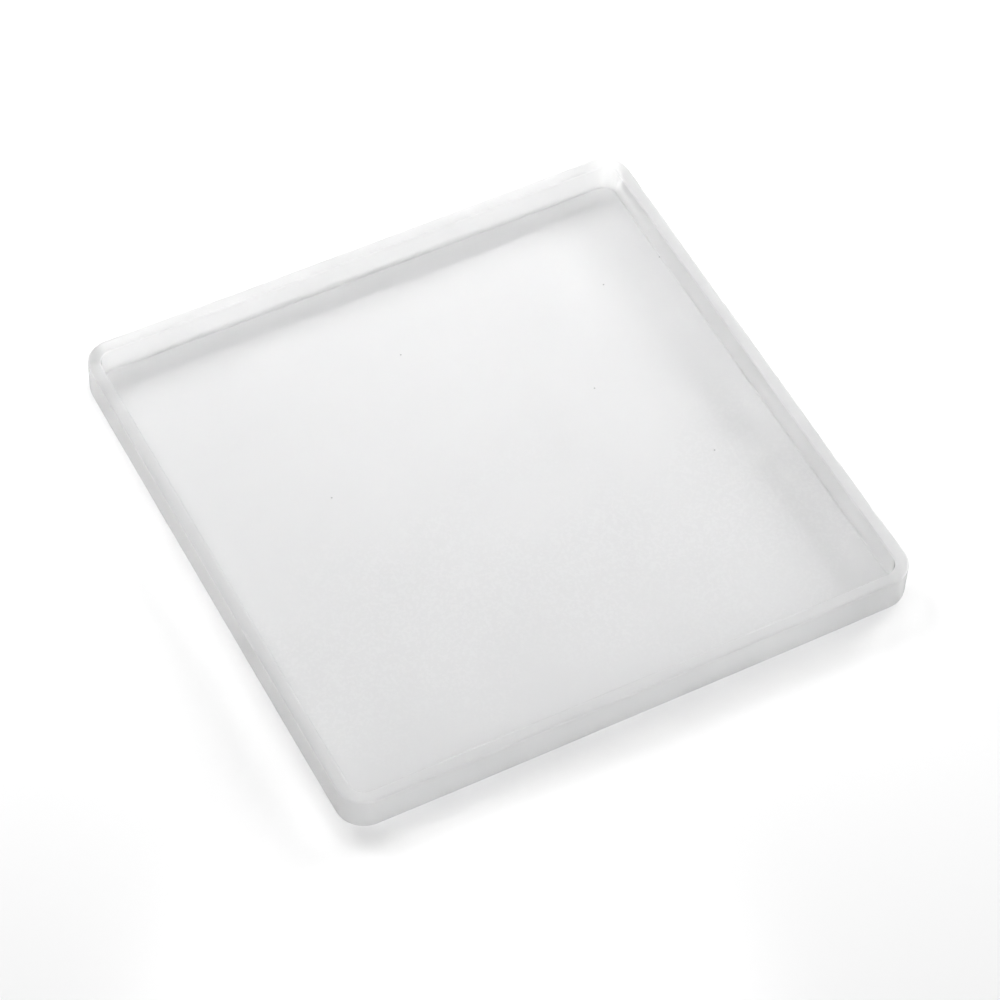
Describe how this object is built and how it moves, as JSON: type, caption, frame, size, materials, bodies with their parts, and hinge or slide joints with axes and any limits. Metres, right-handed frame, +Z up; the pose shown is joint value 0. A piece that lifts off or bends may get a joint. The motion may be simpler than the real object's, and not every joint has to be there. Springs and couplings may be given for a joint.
{
  "type": "resin casting mould",
  "caption": "Shallow square silicone casting tray with rounded upright corners, even walls and a flat floor, open above, for pouring resin slabs, tiles and coasters.",
  "frame": {"origin": "middle of the underside, on the surface the tray rests on", "axes": "+Z up out of the cavity; X and Y parallel to the walls"},
  "size_m": [0.15, 0.15, 0.01],
  "materials": {
    "silicone": "milky translucent silicone rubber, satin outside and rim, glossy cavity floor"
  },
  "bodies": {
    "root": {"mould_tray": "silicone"}
  },
  "joints": []
}
